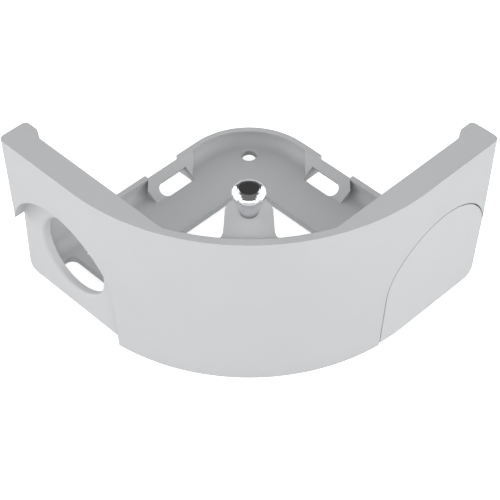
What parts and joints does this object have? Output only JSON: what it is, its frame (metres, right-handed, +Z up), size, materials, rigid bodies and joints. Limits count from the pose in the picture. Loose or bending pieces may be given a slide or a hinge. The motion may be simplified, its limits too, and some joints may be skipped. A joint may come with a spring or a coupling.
{
  "type": "corner conduit box",
  "caption": "Corner-mount conduit back box for a camera: drafted cast shell, tray with wall arms, round conduit entries, snap-in side cover and a ball stud.",
  "frame": {"origin": "the middle of the box in plan, at the height of the shell's lower edge; it lies on the middle line, 79.9 mm in front of the line where the two building walls meet", "axes": "+X to the right seen from the room, +Y into the building corner, +Z up through the open rim; the walls run at 45 degrees to X and Y"},
  "size_m": [0.1816, 0.1341, 0.0871],
  "materials": {
    "painted_casting": "fine-textured light grey powder coat on die-cast aluminium",
    "cover_plastic": "satin light grey moulding matched to the casting",
    "polished_steel": "polished"
  },
  "bodies": {
    "root": {"housing": "painted_casting", "side_cover": "cover_plastic", "ball_stud": "polished_steel"}
  },
  "joints": []
}
